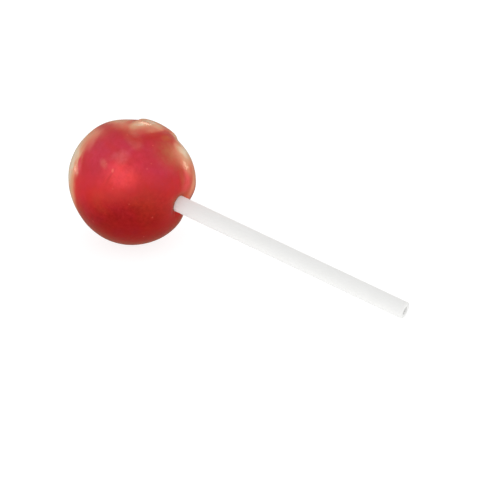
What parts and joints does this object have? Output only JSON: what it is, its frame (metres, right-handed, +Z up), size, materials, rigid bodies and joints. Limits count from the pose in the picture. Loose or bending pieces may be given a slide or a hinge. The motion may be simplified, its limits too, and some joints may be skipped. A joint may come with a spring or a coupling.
{
  "type": "round lollipop",
  "caption": "Round lollipop: a ball of clear red boiled sugar cast on a straight white plastic tube, lying on its side.",
  "frame": {"origin": "middle of the small flat at the bottom of the candy ball, on the surface that the lollipop lies on", "axes": "+Z up, +X the way the stick points from the ball, seen from above; the stick slopes down to the surface"},
  "size_m": [0.0797, 0.0269, 0.0266],
  "materials": {
    "candy": "glossy, clear red boiled sugar with paler cream streaks",
    "stick": "satin white plastic"
  },
  "bodies": {
    "root": {"candy": "candy", "stick": "stick"}
  },
  "joints": []
}
